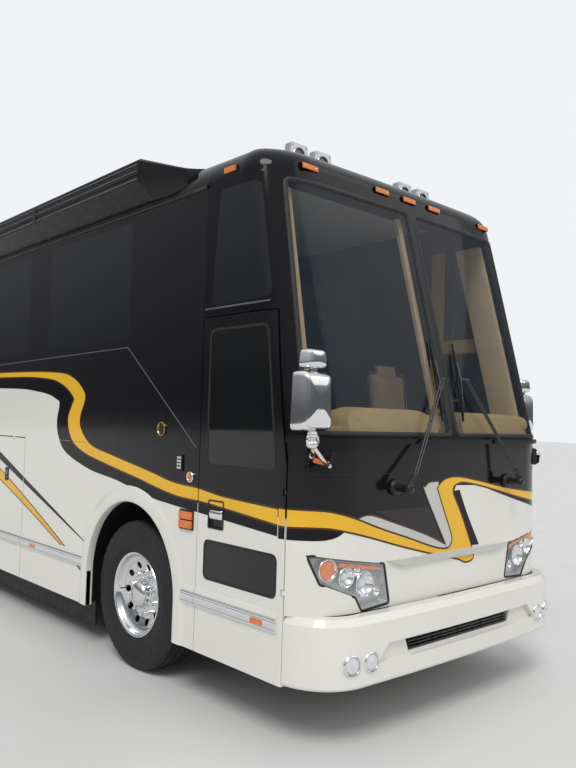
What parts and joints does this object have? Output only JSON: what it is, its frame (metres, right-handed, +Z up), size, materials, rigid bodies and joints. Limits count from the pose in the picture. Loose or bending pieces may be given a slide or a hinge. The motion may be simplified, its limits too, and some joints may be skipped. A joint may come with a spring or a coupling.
{
  "type": "motorhome",
  "caption": "Long motorhome on a coach shell with steered front wheels, twin drive wheels, a tag axle, an entry door, lifting bay doors and a furnished cabin.",
  "frame": {"origin": "on the ground, on the centre plane and midway along the overall length", "axes": "+Z up; the front faces -Y; the kerb side with the entry door is -X and the driver sits on +X"},
  "size_m": [2.9288, 13.865, 3.738],
  "materials": {
    "awning_black": "satin",
    "black_plastic": "matte",
    "cast": "matte",
    "chassis_black": "satin",
    "chrome": "polished",
    "clear_glass": "gloss",
    "gloss_black": "gloss",
    "lamp": "gloss",
    "pearl_white": "gloss",
    "red_lamp": "gloss",
    "rim": "polished",
    "seat_leather": "satin",
    "smoked_glass": "gloss",
    "tan_trim": "matte",
    "tyre": "matte",
    "wood": "satin"
  },
  "bodies": {
    "coach": {"awning": "awning_black", "bay_floor": "chassis_black", "bumper_front": "pearl_white", "bumper_rear": "pearl_white", "cockpit_floor": "chassis_black", "dashboard": "tan_trim", "deck": "chassis_black", "engine": "cast", "fenders": "pearl_white", "front_axle": "cast", "front_frame": "gloss_black", "front_lamps": "lamp", "front_mask": "pearl_white", "furniture": "wood", "intake_grille": "black_plastic", "mirrors": "chrome", "rear_axles": "cast", "rear_cap": "pearl_white", "rear_panels": "pearl_white", "roof": "pearl_white", "roof_lamps": "chrome", "seats": "seat_leather", "side_walls": "gloss_black", "subframes": "chassis_black", "tail_lamps": "red_lamp", "window_glass": "smoked_glass", "windscreen": "clear_glass", "wipers": "black_plastic"},
    "knuckle_right": {"knuckle_right": "cast"},
    "knuckle_left": {"knuckle_left": "cast"},
    "wheel_front_right": {"tyre_front_right": "tyre", "rim_front_right": "rim"},
    "wheel_front_left": {"tyre_front_left": "tyre", "rim_front_left": "rim"},
    "wheel_drive_right": {"tyres_drive_right": "tyre", "rims_drive_right": "rim"},
    "wheel_drive_left": {"tyres_drive_left": "tyre", "rims_drive_left": "rim"},
    "wheel_tag_right": {"tyre_tag_right": "tyre", "rim_tag_right": "rim"},
    "wheel_tag_left": {"tyre_tag_left": "tyre", "rim_tag_left": "rim"},
    "entry_door": {"entry_door": "pearl_white", "door_glass": "smoked_glass"},
    "engine_door": {"engine_door": "pearl_white"},
    "steering_wheel": {"steering_wheel": "black_plastic"},
    "bay_door_right_1": {"bay_door_right_1": "pearl_white"},
    "bay_door_right_2": {"bay_door_right_2": "pearl_white"},
    "bay_door_right_3": {"bay_door_right_3": "pearl_white"},
    "bay_door_left_1": {"bay_door_left_1": "pearl_white"},
    "bay_door_left_2": {"bay_door_left_2": "pearl_white"},
    "bay_door_left_3": {"bay_door_left_3": "pearl_white"}
  },
  "joints": [
    {"name": "steer_right", "type": "hinge", "parent": "coach", "child": "knuckle_right", "pos_m": [-0.96, -4.9275, 0.532], "axis": [0, 0, 1], "range_deg": [-35, 35]},
    {"name": "steer_left", "type": "hinge", "parent": "coach", "child": "knuckle_left", "pos_m": [0.96, -4.9275, 0.532], "axis": [0, 0, 1], "range_deg": [-35, 35]},
    {"name": "steering_wheel_turn", "type": "hinge", "parent": "coach", "child": "steering_wheel", "pos_m": [0.56, -6.2575, 1.88], "axis": [0, 0.5736, 0.8192], "range_deg": [-490, 490]},
    {"name": "roll_front_right", "type": "hinge", "parent": "knuckle_right", "child": "wheel_front_right", "pos_m": [-1.095, -4.9275, 0.532], "axis": [1, 0, 0], "continuous": true},
    {"name": "roll_front_left", "type": "hinge", "parent": "knuckle_left", "child": "wheel_front_left", "pos_m": [1.095, -4.9275, 0.532], "axis": [1, 0, 0], "continuous": true},
    {"name": "roll_drive_right", "type": "hinge", "parent": "coach", "child": "wheel_drive_right", "pos_m": [-1.095, 3.1225, 0.532], "axis": [1, 0, 0], "continuous": true},
    {"name": "roll_drive_left", "type": "hinge", "parent": "coach", "child": "wheel_drive_left", "pos_m": [1.095, 3.1225, 0.532], "axis": [1, 0, 0], "continuous": true},
    {"name": "roll_tag_right", "type": "hinge", "parent": "coach", "child": "wheel_tag_right", "pos_m": [-1.095, 4.4225, 0.532], "axis": [1, 0, 0], "continuous": true},
    {"name": "roll_tag_left", "type": "hinge", "parent": "coach", "child": "wheel_tag_left", "pos_m": [1.095, 4.4225, 0.532], "axis": [1, 0, 0], "continuous": true},
    {"name": "entry_door_swing", "type": "hinge", "parent": "coach", "child": "entry_door", "pos_m": [-1.288, -6.5795, 0.345], "axis": [0, 0, 1], "range_deg": [0, 85]},
    {"name": "bay_door_right_1_lift", "type": "hinge", "parent": "coach", "child": "bay_door_right_1", "pos_m": [-1.288, -2.1675, 1.591], "axis": [0, 1, 0], "range_deg": [0, 85]},
    {"name": "bay_door_right_2_lift", "type": "hinge", "parent": "coach", "child": "bay_door_right_2", "pos_m": [-1.288, -0.3875, 1.591], "axis": [0, 1, 0], "range_deg": [0, 85]},
    {"name": "bay_door_right_3_lift", "type": "hinge", "parent": "coach", "child": "bay_door_right_3", "pos_m": [-1.288, 1.3925, 1.591], "axis": [0, 1, 0], "range_deg": [0, 85]},
    {"name": "bay_door_left_1_lift", "type": "hinge", "parent": "coach", "child": "bay_door_left_1", "pos_m": [1.288, -2.1675, 1.591], "axis": [0, -1, 0], "range_deg": [0, 85]},
    {"name": "bay_door_left_2_lift", "type": "hinge", "parent": "coach", "child": "bay_door_left_2", "pos_m": [1.288, -0.3875, 1.591], "axis": [0, -1, 0], "range_deg": [0, 85]},
    {"name": "bay_door_left_3_lift", "type": "hinge", "parent": "coach", "child": "bay_door_left_3", "pos_m": [1.288, 1.3925, 1.591], "axis": [0, -1, 0], "range_deg": [0, 85]},
    {"name": "engine_door_lift", "type": "hinge", "parent": "coach", "child": "engine_door", "pos_m": [0, 6.8455, 1.464], "axis": [1, 0, 0], "range_deg": [0, 80]}
  ],
  "couplings": [
    {"joint": "steer_left", "follows": "steer_right", "ratio": 1},
    {"joint": "steering_wheel_turn", "follows": "steer_right", "ratio": 14}
  ]
}
